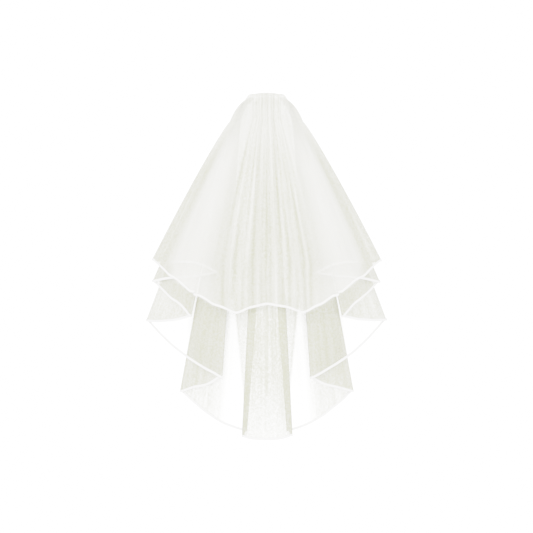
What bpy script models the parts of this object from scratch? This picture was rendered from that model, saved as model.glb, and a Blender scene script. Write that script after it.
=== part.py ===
"""A two-tier bridal veil: one oval of ivory tulle, gathered on a comb at the crown, with a satin ribbon edge.

The veil keeps the form that it has when worn: a rounded dome over the back of the head, sides that come
forward over the shoulders in stacked folds, and two tiers that fall down the back. Metres, +Z up. The
origin is the middle of the comb. -Y is behind the wearer, and the wearer faces +Y.

Each fold runs as a rib from the gathered heading over the crown and down to the hem. The tables give the
hem point, the place at the crown and the layer of each rib, and the sheets are laid over the ribs.
"""

import math
import bmesh
import bpy
from mathutils import Vector

MM = 0.001

# Cloth, ribbon and gathered heading
TULLE_WALL = 1.0 * MM
RIBBON_WALL = 1.6 * MM
RIBBON_WIDTH = 6.0 * MM
SEAM_GAP = 0.3 * MM
SEAM_PART = 0.35 * MM
MOST_PARTED = 0.5
HEADING_REACH = 38.0 * MM
HEADING_Y = -13.4 * MM
HEADING_Z = 14.4 * MM
HEADING_FALL = 2.0 * MM
HEADING_BOW = 7.0 * MM
HEADING_MIDDLE_STACK = 13.0 * MM
HEADING_END_STACK = 23.0 * MM
HEADING_NARROW = 0.3
HEADING_WIDE = 0.7
HEADING_SOLID_SHARE = 0.62
HEADING_STEPS = 10
HEADING_GAP = 0.7 * MM

# Comb
COMB_HALF_LENGTH = 35.0 * MM
COMB_THICKNESS = 4.0 * MM
COMB_HEIGHT = 8.0 * MM
COMB_BOW = 7.5 * MM
HEADING_LOW = COMB_HEIGHT / 2 + SEAM_GAP
HEADING_HEIGHT = 11.0 * MM
COMB_STEPS = 8
COMB_ROUNDING = 1.2 * MM
TOOTH_COUNT = 14
TOOTH_LENGTH = 42.0 * MM
TOOTH_RADIUS = 0.9 * MM
TOOTH_TIP_SHARE = 0.6
TOOTH_ROOT = 1.0 * MM

# Crown, where the dome over the head turns into the falling cloth
CROWN_Z = -45.0 * MM
CROWN_REACH = 92.0 * MM
SIDE_REACH = 290.0 * MM
SIDE_Z = -395.0 * MM
WIDEST_REACH = 306.0 * MM
FLARE = 0.9
ROUNDNESS = 0.62
MOST_ACROSS = 1.04

# How far behind the comb the middle of the back lies, and how far forward its sides come, at each level
BACK_COLUMNS = ("z", "middle_y", "side_y", "layer_gap")
BACK_SECTIONS = (
    (-45, -36, 16, 4.9),
    (-140, -46, 42, 6.0),
    (-395, -66, 62, 10.0),
    (-550, -70, 68, 10.0),
    (-860, -76, 62, 10.0),
)
# The share of the layer gap that is left down the middle of the back, how wide that stretch is between the
# side folds at the crown and at the elbows, and how much of it keeps the narrow gap
MIDDLE_GAP_SHARE = 0.45
CROWN_INNER = 66.0 * MM
SIDE_INNER = 104.0 * MM
MIDDLE_SHARE = 0.35

# Upper tier, from the middle of the back to the first side fold
HEM_COLUMNS = ("name", "crown", "left_x", "left_z", "right_x", "right_z", "layer")
UPPER_HEM = (
    ("middle", 0, 0, -505, 0, -505, 0),
    ("wave_side", 12, -36, -513, 44, -511, 0),
    ("low_wave", 25, -76, -526, 90, -526, 0),
    ("past_wave", 40, -122, -509, 130, -508, 0),
    ("lapped_pleat", 57, -178, -480, 176, -480, 0),
    ("upper_side", 76, -238, -436, 238, -438, 0),
)
# The side folds, one row for each turn of the cloth, from the upper tier to the lower one
TURN_COLUMNS = ("name", "crown", "left_x", "left_z", "right_x", "right_z", "layer")
TURNS = (
    ("fold_a", 92, -290, -395, 292, -397, 0.5),
    ("fold_b", 70, -118, -426, 120, -426, 1.5),
    ("fold_c", 88, -289, -449, 288, -450, 2.5),
    ("fold_d", 76, -188, -535, 189, -536, 3.5),
    ("fold_e", 90, -306, -548, 305, -546, 4.5),
    ("fold_f", 64, -110, -687, 109, -690, 5.5),
    ("fold_g", 82, -218, -724, 220, -724, 6.5),
)
# Points of the hem between two turns
BETWEEN = {
    "fold_a": (("flat_1", 86, -248, -399, 246, -400, 1), ("flat_2", 80, -178, -402, 180, -403, 1)),
    "fold_b": (("under_1", 76, -178, -436, 180, -436, 2), ("under_2", 83, -240, -440, 240, -441, 2)),
    "fold_c": (("slope_1", 84, -248, -483, 250, -482, 3), ("slope_2", 81, -218, -506, 218, -508, 3)),
    "fold_d": (("short_1", 81, -225, -544, 226, -543, 4), ("short_2", 85, -262, -549, 262, -547, 4)),
    "fold_e": (
        ("long_1", 85, -261, -590, 260, -590, 5),
        ("long_2", 79, -210, -632, 209, -634, 5),
        ("long_3", 72, -163, -662, 160, -665, 5),
    ),
    "fold_f": (("last_1", 70, -145, -705, 145, -706, 6), ("last_2", 76, -185, -715, 187, -716, 6)),
}
# Lower tier, from the last side fold to the middle, with the box pleat down its middle
LOWER_HEM = (
    ("lower_side", 72, -188, -748, 190, -748, 7),
    ("lower_slope", 58, -153, -776, 154, -776, 7),
    ("lower_curve", 44, -118, -798, 120, -797, 7),
    ("tuck", 30, -84, -812, 86, -812, 7),
)
PLEAT_TURNS = (
    ("pleat_in", 14, -48, -820, 50, -820, 6.55),
    ("pleat_out", 19, -62, -834, 66, -832, 5.65),
)
PLEAT_PANEL = (
    ("panel_side", 13, -40, -838, 42, -837, 5.2),
    ("panel_inner", 7, -20, -840, 21, -840, 5.2),
    ("lower_middle", 0, 0, -841, 0, -841, 5.2),
)
PLEAT_TURN_LAYERS = 0.45
# The turns that lie towards the middle of the back, and open outward
INNER_TURNS = ("fold_b", "fold_d", "fold_f", "pleat_in")
# How deep a turn is from side to side, for one layer of thickness
TURN_AT_CROWN = 4.6
TURN_AT_HEM = 10.0

# Upright pleats down the back of the upper tier, placed as a share of the half width
PLEAT_COLUMNS = ("across", "half_width", "rise_at_hem", "rise_at_crown")
PLEATS = (
    (-0.305, 0.034, 7.0, 1.0),
    (-0.215, 0.032, 5.0, 1.6),
    (-0.135, 0.030, 6.0, 2.0),
    (-0.060, 0.028, 5.0, 2.2),
    (0.012, 0.028, 6.5, 2.4),
    (0.080, 0.028, 4.5, 2.2),
    (0.150, 0.030, 5.5, 2.0),
    (0.225, 0.034, 7.5, 1.6),
    (0.310, 0.036, 8.0, 1.0),
)
PLEATED_SHARE = 0.36
PLEATED_RIBS = 20
PLAIN_RIBS = 10

# The roll of the upper tier over the heading
ROLL_RISE = 31.0 * MM
ROLL_BACK = 14.0 * MM
ROLL_OUT = 40.0 * MM
ROLL_INWARD = 9.0 * MM
ROLL_ARRIVE_RISE = 24.0 * MM
ROLL_NARROW = 0.66
ROLL_WIDE = 0.93
LEAVE_OUT = 23.0 * MM
LEAVE_DROP = 18.0 * MM
LEAVE_SIDE_RISE = -3.0 * MM
ARRIVE_RISE = 30.0 * MM
ARRIVE_INWARD = 12.0 * MM
ARRIVE_MIDDLE_FORWARD = 5.0 * MM
ARRIVE_SIDE_FORWARD = -12.0 * MM
LAST_LAYER = 7

ROLL_ROWS = 7
FALL_ROWS = 8
HEM_STEP = 0.02
TURN_STEPS = (-90, -45, 0, 45, 90)

COLOURS = {
    "tulle": (0.93, 0.92, 0.86, 1.0),
    "satin": (0.96, 0.94, 0.88, 1.0),
    "comb": (0.86, 0.86, 0.84, 1.0),
}


def mix(first, last, share):
    return first + (last - first) * share


def smooth_step(share):
    share = min(max(share, 0.0), 1.0)
    return share * share * (3 - 2 * share)


def between_rows(rows, key, column):
    """A table's value at a key, in a straight line from row to row. The first column falls as it goes down."""
    if key >= rows[0][0]:
        return rows[0][column]
    for above, below in zip(rows, rows[1:]):
        if key >= below[0]:
            share = (key - above[0]) / (below[0] - above[0])
            return mix(above[column], below[column], share)
    return rows[-1][column]


def reach(z):
    """Half the width of the veil at a level below the crown."""
    share = (CROWN_Z - z) / (CROWN_Z - SIDE_Z)
    if share <= 1:
        return mix(CROWN_REACH, SIDE_REACH, max(share, 0.0) ** FLARE)
    return min(mix(SIDE_REACH, WIDEST_REACH, share - 1), WIDEST_REACH)


def layer_gap(x, z):
    """The distance from layer to layer. It is less down the middle, where the side folds don't reach."""
    gap = between_rows(BACK_SECTIONS, z / MM, BACK_COLUMNS.index("layer_gap")) * MM
    share = min(max((CROWN_Z - z) / (CROWN_Z - SIDE_Z), 0.0), 1.0)
    inner = mix(CROWN_INNER, SIDE_INNER, share)
    opened = smooth_step((abs(x) / inner - MIDDLE_SHARE) / (1 - MIDDLE_SHARE))
    return gap * mix(MIDDLE_GAP_SHARE, 1.0, opened)


def pleat_rise(across, share_down):
    """How far the upper tier's pleats stand out from the back, towards -Y."""
    rise = 0.0
    for centre, half_width, at_hem, at_crown in PLEATS:
        distance = abs(across - centre) / half_width
        if distance < 1:
            rise += mix(at_crown, at_hem, share_down) * MM * (math.cos(math.pi * distance) + 1) / 2
    return rise


def depth(x, z, layer):
    """The Y of a layer of cloth at a place on the back. The outermost layer is 0, and each next one lies inside it."""
    across = min(abs(x) / reach(z), MOST_ACROSS)
    middle = between_rows(BACK_SECTIONS, z / MM, BACK_COLUMNS.index("middle_y")) * MM
    side = between_rows(BACK_SECTIONS, z / MM, BACK_COLUMNS.index("side_y")) * MM
    bend = 1 - math.sqrt(1 - ROUNDNESS * across * across)
    bend /= 1 - math.sqrt(1 - ROUNDNESS)
    return mix(middle, side, bend) + layer * layer_gap(x, z)


def heading_point(across, layer):
    """Where a rib leaves the gathered heading, with the upper tier at the back and the lower one next to the comb."""
    opened = smooth_step((abs(across) - HEADING_NARROW) / (HEADING_WIDE - HEADING_NARROW))
    stack = mix(HEADING_MIDDLE_STACK, HEADING_END_STACK, opened)
    bow = HEADING_BOW * across * across
    z = HEADING_Z - HEADING_FALL * across * across
    return HEADING_REACH * across, HEADING_Y + bow + (layer / LAST_LAYER - 0.5) * stack, z


def roll_place(crown, hem_x, hem_z, layer, share):
    """A point of a rib between the heading and the crown, where the upper tier rolls over."""
    across = crown / CROWN_REACH
    sideways = min(abs(across), 1.0)
    start = heading_point(across, layer)
    crown_point = rib_place(crown, hem_x, hem_z, layer, 0.0)
    rolled = 1 - smooth_step((sideways - ROLL_NARROW) / (ROLL_WIDE - ROLL_NARROW)) if layer < 0.5 else 0.0
    leave = (
        start[0] + mix(LEAVE_OUT, ROLL_OUT, rolled) * across,
        start[1] - ROLL_BACK * rolled,
        start[2] + mix(mix(-LEAVE_DROP, LEAVE_SIDE_RISE, sideways**2), ROLL_RISE, rolled),
    )
    arrive = (
        crown_point[0] - mix(ARRIVE_INWARD, ROLL_INWARD, rolled) * across,
        crown_point[1] + mix(ARRIVE_MIDDLE_FORWARD, ARRIVE_SIDE_FORWARD, sideways**2),
        crown_point[2] + mix(ARRIVE_RISE, ROLL_ARRIVE_RISE, rolled),
    )
    return bezier(start, leave, arrive, crown_point, share)


def bezier(start, leave, arrive, end, share):
    rest = 1 - share
    weights = (rest**3, 3 * rest * rest * share, 3 * rest * share * share, share**3)
    return tuple(sum(w * p[axis] for w, p in zip(weights, (start, leave, arrive, end))) for axis in range(3))


def rib_place(crown, hem_x, hem_z, layer, share):
    z = mix(CROWN_Z, hem_z, share)
    x = mix(crown, hem_x, share**FLARE)
    y = depth(x, z, layer)
    if layer < 0.5:
        y -= pleat_rise(x / reach(z), share)
    return x, y, z


def turn_ribs(row, side):
    """The ribs of a rounded turn from one layer to the next."""
    name, crown, left_x, left_z, right_x, right_z, layer = row
    hem_x, hem_z = (left_x, left_z) if side < 0 else (right_x, right_z)
    half_layer = PLEAT_TURN_LAYERS if name.startswith("pleat") else 0.5
    inward = -1 if name in INNER_TURNS else 1
    found = []
    for angle in TURN_STEPS:
        turned = math.radians(angle)
        inset = inward * side * half_layer * (1 - math.cos(turned))
        place = layer + half_layer * math.sin(turned) * (-1 if name.startswith("pleat") else 1)
        found.append((side * crown - inset * TURN_AT_CROWN, hem_x - inset * TURN_AT_HEM, hem_z, place))
    return found


def plain_rib(row, side):
    name, crown, left_x, left_z, right_x, right_z, layer = row
    hem_x, hem_z = (left_x, left_z) if side < 0 else (right_x, right_z)
    return side * crown, hem_x, hem_z, layer


def upper_ribs(side):
    """Half of the upper tier, from the middle to where its side fold begins, with close ribs over the pleats."""
    rows = [plain_rib(row, side) for row in UPPER_HEM]
    rows.append(turn_ribs(TURNS[0], side)[0])
    shares = [step / PLEATED_RIBS * PLEATED_SHARE for step in range(PLEATED_RIBS + 1)]
    shares += [mix(PLEATED_SHARE, 1, step / PLAIN_RIBS) for step in range(1, PLAIN_RIBS + 1)]
    return [on_outline(rows, share * rows[-1][0]) for share in shares]


def on_outline(rows, crown):
    """The rib with this place at the crown, between the two rows on either side of it."""
    for near, far in zip(rows, rows[1:]):
        if abs(crown) <= abs(far[0]) + 1e-9:
            share = (crown - near[0]) / (far[0] - near[0])
            eased = mix(share, smooth_step(share), 0.5)
            return crown, mix(near[1], far[1], share), mix(near[2], far[2], eased), mix(near[3], far[3], share)
    return rows[-1]


def fold_ribs(side):
    """The folds at one side, from the middle of the first turn to the middle of the last."""
    found = turn_ribs(TURNS[0], side)[1:]
    for row, following in zip(TURNS, TURNS[1:]):
        found += [plain_rib(point, side) for point in BETWEEN[row[0]]]
        found += turn_ribs(following, side)
    return found[:-1]


def lower_ribs(side):
    """Half of the lower tier, from the last side fold to the middle."""
    found = turn_ribs(TURNS[-1], side)[-1:]
    found += [plain_rib(row, side) for row in LOWER_HEM]
    for row in PLEAT_TURNS:
        found += turn_ribs(row, side)[::2]
    return found + [plain_rib(row, side) for row in PLEAT_PANEL]


def half_veil(side):
    """The ribs of one half, sheet by sheet, from the middle of the upper tier to the middle of the lower one.
    The sheets part just behind the first and the last turn."""
    upper, folds, lower = upper_ribs(side), fold_ribs(side), lower_ribs(side)
    first_seam = len(upper) + len(TURN_STEPS) - 1
    last_seam = len(upper) + len(folds) - len(TURN_STEPS)
    ribs = upper + folds + lower
    return ribs[: first_seam + 1], ribs[first_seam : last_seam + 1], ribs[last_seam:]


def tulle_line(crown, hem_x, hem_z, layer):
    """One line of the cloth: rows at the same shares over the roll and the fall, down to the ribbon."""
    place = (crown * MM, hem_x * MM, hem_z * MM, layer)
    points = [roll_place(*place, step / ROLL_ROWS) for step in range(ROLL_ROWS)]
    last = 1 - hem_share(place, RIBBON_WIDTH + SEAM_GAP)
    return points + [rib_place(*place, last * step / FALL_ROWS) for step in range(FALL_ROWS + 1)]


def ribbon_line(crown, hem_x, hem_z, layer):
    place = (crown * MM, hem_x * MM, hem_z * MM, layer)
    return [rib_place(*place, 1 - hem_share(place, RIBBON_WIDTH)), rib_place(*place, 1.0)]


def hem_share(place, distance):
    """The share of the fall that this distance is, measured at the hem."""
    return distance * HEM_STEP / math.dist(rib_place(*place, 1 - HEM_STEP), rib_place(*place, 1.0))


def material(name):
    made = bpy.data.materials.get(name)
    if made is None:
        made = bpy.data.materials.new(name)
        made.use_nodes = True
        shader = made.node_tree.nodes["Principled BSDF"]
        shader.inputs["Base Color"].default_value = COLOURS[name]
        shader.inputs["Roughness"].default_value = 0.35 if name == "satin" else 0.7
        shader.inputs["Metallic"].default_value = 0.0
    return made


def place_object(name, mesh, material_name, collection):
    made = bpy.data.objects.new(name, mesh)
    mesh.materials.append(material(material_name))
    collection.objects.link(made)
    return made


def wall(name, grid, thickness, material_name, collection):
    """A sheet over a grid of points, given its thickness to both sides."""
    shape = bmesh.new()
    points = [[shape.verts.new(point) for point in column] for column in grid]
    for left, right in zip(points, points[1:]):
        for row in range(len(left) - 1):
            shape.faces.new((left[row], left[row + 1], right[row + 1], right[row]))
    bmesh.ops.recalc_face_normals(shape, faces=shape.faces)
    mesh = bpy.data.meshes.new(name)
    shape.to_mesh(mesh)
    shape.free()
    mesh.shade_smooth()
    made = place_object(name, mesh, material_name, collection)
    solid = made.modifiers.new("Wall", "SOLIDIFY")
    solid.thickness = thickness
    solid.offset = 0.0
    return made


def parted(grid):
    """The grid with its first and last columns moved in by half of the seam's gap, clear of the next sheet."""
    for edge, inner in ((0, 1), (-1, -2)):
        column = []
        for row, (point, neighbour) in enumerate(zip(grid[edge], grid[inner])):
            along = Vector(grid[edge][min(row + 1, len(grid[edge]) - 1)]) - Vector(grid[edge][max(row - 1, 0)])
            across = Vector(neighbour) - Vector(point)
            apart = (across - across.project(along)).length
            share = min(SEAM_PART / apart, MOST_PARTED)
            column.append(tuple(mix(a, b, share) for a, b in zip(point, neighbour)))
        grid[edge] = column
    return grid


def tulle_and_ribbon(name, ribs, collection):
    tulle = [tulle_line(*row) for row in ribs]
    ribbon = [ribbon_line(*row) for row in ribs]
    wall(name, parted(tulle), TULLE_WALL, "tulle", collection)
    wall(name + "_ribbon", parted(ribbon), RIBBON_WALL, "satin", collection)


def gathered_heading(collection):
    """The tulle bunched and stitched together along the gathering line, just above the comb's spine."""
    shape = bmesh.new()
    outline = []
    steps = range(-HEADING_STEPS, HEADING_STEPS + 1)
    for step in steps:
        x, y, _ = heading_point(HEADING_SOLID_SHARE * step / HEADING_STEPS, LAST_LAYER)
        outline.append(shape.verts.new((x, y + TULLE_WALL / 2 + HEADING_GAP, HEADING_LOW)))
    for step in reversed(steps):
        x = HEADING_REACH * HEADING_SOLID_SHARE * step / HEADING_STEPS
        outline.append(shape.verts.new((x, comb_bow(x) + COMB_THICKNESS / 2, HEADING_LOW)))
    base = shape.faces.new(outline)
    raised = bmesh.ops.extrude_face_region(shape, geom=[base])
    top = [item for item in raised["geom"] if isinstance(item, bmesh.types.BMVert)]
    bmesh.ops.translate(shape, verts=top, vec=(0, 0, HEADING_HEIGHT))
    bmesh.ops.recalc_face_normals(shape, faces=shape.faces)
    mesh = bpy.data.meshes.new("gathered_heading")
    shape.to_mesh(mesh)
    shape.free()
    place_object("gathered_heading", mesh, "tulle", collection)


def comb_bow(x):
    """How far forward the comb curves round the head at a distance from its middle."""
    return COMB_BOW * (x / COMB_HALF_LENGTH) ** 2


def comb(collection):
    """The comb under the gathering: a flat spine with a row of round teeth, joined into one solid."""
    bpy.ops.mesh.primitive_cube_add(size=1.0, location=(0, 0, 0))
    spine = bpy.context.object
    spine.name = "comb"
    spine.scale = (2 * COMB_HALF_LENGTH, COMB_THICKNESS, COMB_HEIGHT)
    bpy.ops.object.transform_apply(location=False, rotation=False, scale=True)
    shape = bmesh.new()
    shape.from_mesh(spine.data)
    along = [edge for edge in shape.edges if abs(edge.verts[0].co.x - edge.verts[1].co.x) > COMB_HALF_LENGTH]
    bmesh.ops.subdivide_edges(shape, edges=along, cuts=COMB_STEPS - 1, use_grid_fill=True)
    for vertex in shape.verts:
        vertex.co.y += comb_bow(vertex.co.x)
    shape.to_mesh(spine.data)
    shape.free()
    bevel = spine.modifiers.new("Rounded", "BEVEL")
    bevel.width = COMB_ROUNDING
    bevel.segments = 2
    bevel.limit_method = "ANGLE"
    spine.data.materials.append(material("comb"))
    shape = bmesh.new()
    spacing = (2 * COMB_HALF_LENGTH - 6 * TOOTH_RADIUS) / (TOOTH_COUNT - 1)
    for tooth in range(TOOTH_COUNT):
        x = -COMB_HALF_LENGTH + 3 * TOOTH_RADIUS + tooth * spacing
        made = bmesh.ops.create_cone(
            shape, cap_ends=True, segments=8, depth=TOOTH_LENGTH,
            radius1=TOOTH_RADIUS * TOOTH_TIP_SHARE, radius2=TOOTH_RADIUS,
        )
        middle = -COMB_HEIGHT / 2 + TOOTH_ROOT - TOOTH_LENGTH / 2
        bmesh.ops.translate(shape, verts=made["verts"], vec=(x, comb_bow(x), middle))
    mesh = bpy.data.meshes.new("comb_teeth")
    shape.to_mesh(mesh)
    shape.free()
    teeth = bpy.data.objects.new("comb_teeth", mesh)
    teeth.hide_render = True
    teeth.display_type = "WIRE"
    bpy.data.collections["helpers"].objects.link(teeth)
    union = spine.modifiers.new("Teeth", "BOOLEAN")
    union.operation = "UNION"
    union.object = teeth
    for used in list(spine.users_collection):
        used.objects.unlink(spine)
    collection.objects.link(spine)


def main():
    for old in list(bpy.data.objects):
        bpy.data.objects.remove(old)
    veil = bpy.data.collections.new("bridal_veil")
    helpers = bpy.data.collections.new("helpers")
    bpy.context.scene.collection.children.link(veil)
    bpy.context.scene.collection.children.link(helpers)
    upper_left, cascade_left, lower_left = half_veil(-1)
    upper_right, cascade_right, lower_right = half_veil(1)
    tulle_and_ribbon("upper_tier", upper_left[::-1] + upper_right[1:], veil)
    tulle_and_ribbon("lower_tier", lower_left + lower_right[-2::-1], veil)
    tulle_and_ribbon("cascade_left", cascade_left, veil)
    tulle_and_ribbon("cascade_right", cascade_right, veil)
    gathered_heading(veil)
    comb(veil)


main()
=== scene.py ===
"""The looks of the two-tier bridal veil: sheer ivory tulle in fine net, a satin ribbon edge, the shirred
heading and the comb, on a white studio sweep with soft light.

The cloth hangs on the same ribs as its solids, each running from the gathered heading over the crown and
down to the hem. The tables give the hem point, the place at the crown and the layer of each rib, in
millimetres, and the fine sheets add gathers, soft troughs and an uneven hem. Metres, +Z up. The origin is
the middle of the comb, and -Y is behind the wearer.
"""

import math

import bmesh
import bpy
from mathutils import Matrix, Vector, noise

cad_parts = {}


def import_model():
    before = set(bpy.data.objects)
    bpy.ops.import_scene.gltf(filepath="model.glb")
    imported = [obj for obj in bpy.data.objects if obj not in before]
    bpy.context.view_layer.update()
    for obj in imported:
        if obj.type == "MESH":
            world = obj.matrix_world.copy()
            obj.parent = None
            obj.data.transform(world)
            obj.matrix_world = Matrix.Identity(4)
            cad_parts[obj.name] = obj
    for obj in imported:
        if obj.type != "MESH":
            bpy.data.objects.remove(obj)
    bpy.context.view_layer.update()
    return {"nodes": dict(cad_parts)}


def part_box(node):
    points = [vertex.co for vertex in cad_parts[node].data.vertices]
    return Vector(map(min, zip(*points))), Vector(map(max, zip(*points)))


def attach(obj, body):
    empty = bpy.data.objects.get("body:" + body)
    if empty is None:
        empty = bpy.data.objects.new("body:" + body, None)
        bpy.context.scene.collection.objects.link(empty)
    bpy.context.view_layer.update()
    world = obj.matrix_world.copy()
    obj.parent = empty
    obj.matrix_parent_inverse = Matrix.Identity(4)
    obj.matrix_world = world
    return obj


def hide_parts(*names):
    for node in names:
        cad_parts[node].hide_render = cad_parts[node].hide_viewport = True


MM = 0.001

# Cloth, ribbon and gathered heading
TULLE_WALL = 1.0 * MM
RIBBON_WIDTH = 6.0 * MM
HEADING_REACH = 38.0 * MM
HEADING_Y = -13.4 * MM
HEADING_Z = 14.4 * MM
HEADING_FALL = 2.0 * MM
HEADING_BOW = 7.0 * MM
HEADING_MIDDLE_STACK = 13.0 * MM
HEADING_END_STACK = 23.0 * MM
HEADING_NARROW = 0.3
HEADING_WIDE = 0.7
HEADING_GAP = 0.7 * MM

# Comb
COMB_HALF_LENGTH = 35.0 * MM
COMB_THICKNESS = 4.0 * MM
COMB_HEIGHT = 8.0 * MM
COMB_BOW = 7.5 * MM
TOOTH_COUNT = 14
TOOTH_RADIUS = 0.9 * MM

# Crown, where the dome over the head turns into the falling cloth
CROWN_Z = -45.0 * MM
CROWN_REACH = 92.0 * MM
SIDE_REACH = 290.0 * MM
SIDE_Z = -395.0 * MM
WIDEST_REACH = 306.0 * MM
FLARE = 0.9
ROUNDNESS = 0.62
MOST_ACROSS = 1.04

# How far behind the comb the middle of the back lies, and how far forward its sides come, at each level
BACK_COLUMNS = ("z", "middle_y", "side_y", "layer_gap")
BACK_SECTIONS = (
    (-45, -36, 16, 4.9),
    (-140, -46, 42, 6.0),
    (-395, -66, 62, 10.0),
    (-550, -70, 68, 10.0),
    (-860, -76, 62, 10.0),
)
# The share of the layer gap that is left down the middle of the back, how wide that stretch is between the
# side folds at the crown and at the elbows, and how much of it keeps the narrow gap
MIDDLE_GAP_SHARE = 0.45
CROWN_INNER = 66.0 * MM
SIDE_INNER = 104.0 * MM
MIDDLE_SHARE = 0.35

# The hem, one row for each point. The columns of this table and of the hem tables that follow are name,
# crown, left_x, left_z, right_x, right_z and layer.
# Upper tier, from the middle of the back to the first side fold
UPPER_HEM = (
    ("middle", 0, 0, -505, 0, -505, 0),
    ("wave_side", 12, -36, -513, 44, -511, 0),
    ("low_wave", 25, -76, -526, 90, -526, 0),
    ("past_wave", 40, -122, -509, 130, -508, 0),
    ("lapped_pleat", 57, -178, -480, 176, -480, 0),
    ("upper_side", 76, -238, -436, 238, -438, 0),
)
# The side folds, one row for each turn of the cloth, from the upper tier to the lower one
TURNS = (
    ("fold_a", 92, -290, -395, 292, -397, 0.5),
    ("fold_b", 70, -118, -426, 120, -426, 1.5),
    ("fold_c", 88, -289, -449, 288, -450, 2.5),
    ("fold_d", 76, -188, -535, 189, -536, 3.5),
    ("fold_e", 90, -306, -548, 305, -546, 4.5),
    ("fold_f", 64, -110, -687, 109, -690, 5.5),
    ("fold_g", 82, -218, -724, 220, -724, 6.5),
)
# Points of the hem between two turns
BETWEEN = {
    "fold_a": (("flat_1", 86, -248, -399, 246, -400, 1), ("flat_2", 80, -178, -402, 180, -403, 1)),
    "fold_b": (("under_1", 76, -178, -436, 180, -436, 2), ("under_2", 83, -240, -440, 240, -441, 2)),
    "fold_c": (("slope_1", 84, -248, -483, 250, -482, 3), ("slope_2", 81, -218, -506, 218, -508, 3)),
    "fold_d": (("short_1", 81, -225, -544, 226, -543, 4), ("short_2", 85, -262, -549, 262, -547, 4)),
    "fold_e": (
        ("long_1", 85, -261, -590, 260, -590, 5),
        ("long_2", 79, -210, -632, 209, -634, 5),
        ("long_3", 72, -163, -662, 160, -665, 5),
    ),
    "fold_f": (("last_1", 70, -145, -705, 145, -706, 6), ("last_2", 76, -185, -715, 187, -716, 6)),
}
# Lower tier, from the last side fold to the middle, with the box pleat down its middle
LOWER_HEM = (
    ("lower_side", 72, -188, -748, 190, -748, 7),
    ("lower_slope", 58, -153, -776, 154, -776, 7),
    ("lower_curve", 44, -118, -798, 120, -797, 7),
    ("tuck", 30, -84, -812, 86, -812, 7),
)
PLEAT_TURNS = (
    ("pleat_in", 14, -48, -820, 50, -820, 6.55),
    ("pleat_out", 19, -62, -834, 66, -832, 5.65),
)
PLEAT_PANEL = (
    ("panel_side", 13, -40, -838, 42, -837, 5.2),
    ("panel_inner", 7, -20, -840, 21, -840, 5.2),
    ("lower_middle", 0, 0, -841, 0, -841, 5.2),
)
PLEAT_TURN_LAYERS = 0.45
# The turns that lie towards the middle of the back, and open outward
INNER_TURNS = ("fold_b", "fold_d", "fold_f", "pleat_in")
# How deep a turn is from side to side, for one layer of thickness
TURN_AT_CROWN = 4.6
TURN_AT_HEM = 10.0

# Upright pleats down the back of the upper tier, placed as a share of the half width. The columns are
# across, half_width, rise_at_hem and rise_at_crown.
PLEATS = (
    (-0.305, 0.034, 7.0, 1.0),
    (-0.215, 0.032, 5.0, 1.6),
    (-0.135, 0.030, 6.0, 2.0),
    (-0.060, 0.028, 5.0, 2.2),
    (0.012, 0.028, 6.5, 2.4),
    (0.080, 0.028, 4.5, 2.2),
    (0.150, 0.030, 5.5, 2.0),
    (0.225, 0.034, 7.5, 1.6),
    (0.310, 0.036, 8.0, 1.0),
)
PLEATED_SHARE = 0.36
PLEATED_RIBS = 20
PLAIN_RIBS = 10

# The roll of the upper tier over the heading
ROLL_RISE = 31.0 * MM
ROLL_BACK = 14.0 * MM
ROLL_OUT = 40.0 * MM
ROLL_INWARD = 9.0 * MM
ROLL_ARRIVE_RISE = 24.0 * MM
ROLL_NARROW = 0.66
ROLL_WIDE = 0.93
LEAVE_OUT = 23.0 * MM
LEAVE_DROP = 18.0 * MM
LEAVE_SIDE_RISE = -3.0 * MM
ARRIVE_RISE = 30.0 * MM
ARRIVE_INWARD = 12.0 * MM
ARRIVE_MIDDLE_FORWARD = 5.0 * MM
ARRIVE_SIDE_FORWARD = -12.0 * MM
LAST_LAYER = 7
HALF_LAYER = 0.5

TURN_STEPS = (-90, -45, 0, 45, 90)
# How far the hem between two rows is eased from a straight line, and how far a rib may miss its row
HEM_EASING = 0.5
MISS = 1e-9


def mix(first, last, share):
    return first + (last - first) * share


def smooth_step(share):
    share = min(max(share, 0.0), 1.0)
    return share * share * (3 - 2 * share)


def outermost(layer):
    return layer < HALF_LAYER


def between_rows(rows, key, column):
    """A table's value at a key, in a straight line from row to row. The first column falls going down."""
    if key >= rows[0][0]:
        return rows[0][column]
    for above, below in zip(rows, rows[1:]):
        if key >= below[0]:
            share = (key - above[0]) / (below[0] - above[0])
            return mix(above[column], below[column], share)
    return rows[-1][column]


def reach(z):
    """Half the width of the veil at a level below the crown."""
    share = (CROWN_Z - z) / (CROWN_Z - SIDE_Z)
    if share <= 1:
        return mix(CROWN_REACH, SIDE_REACH, max(share, 0.0) ** FLARE)
    return min(mix(SIDE_REACH, WIDEST_REACH, share - 1), WIDEST_REACH)


def layer_gap(x, z):
    """The distance from layer to layer. It is less down the middle, where the side folds don't reach."""
    gap = between_rows(BACK_SECTIONS, z / MM, BACK_COLUMNS.index("layer_gap")) * MM
    share = min(max((CROWN_Z - z) / (CROWN_Z - SIDE_Z), 0.0), 1.0)
    inner = mix(CROWN_INNER, SIDE_INNER, share)
    opened = smooth_step((abs(x) / inner - MIDDLE_SHARE) / (1 - MIDDLE_SHARE))
    return gap * mix(MIDDLE_GAP_SHARE, 1.0, opened)


def pleat_rise(across, share_down):
    """How far the upper tier's pleats stand out from the back, towards -Y."""
    rise = 0.0
    for centre, half_width, at_hem, at_crown in PLEATS:
        distance = abs(across - centre) / half_width
        if distance < 1:
            rise += mix(at_crown, at_hem, share_down) * MM * (math.cos(math.pi * distance) + 1) / 2
    return rise


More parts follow.
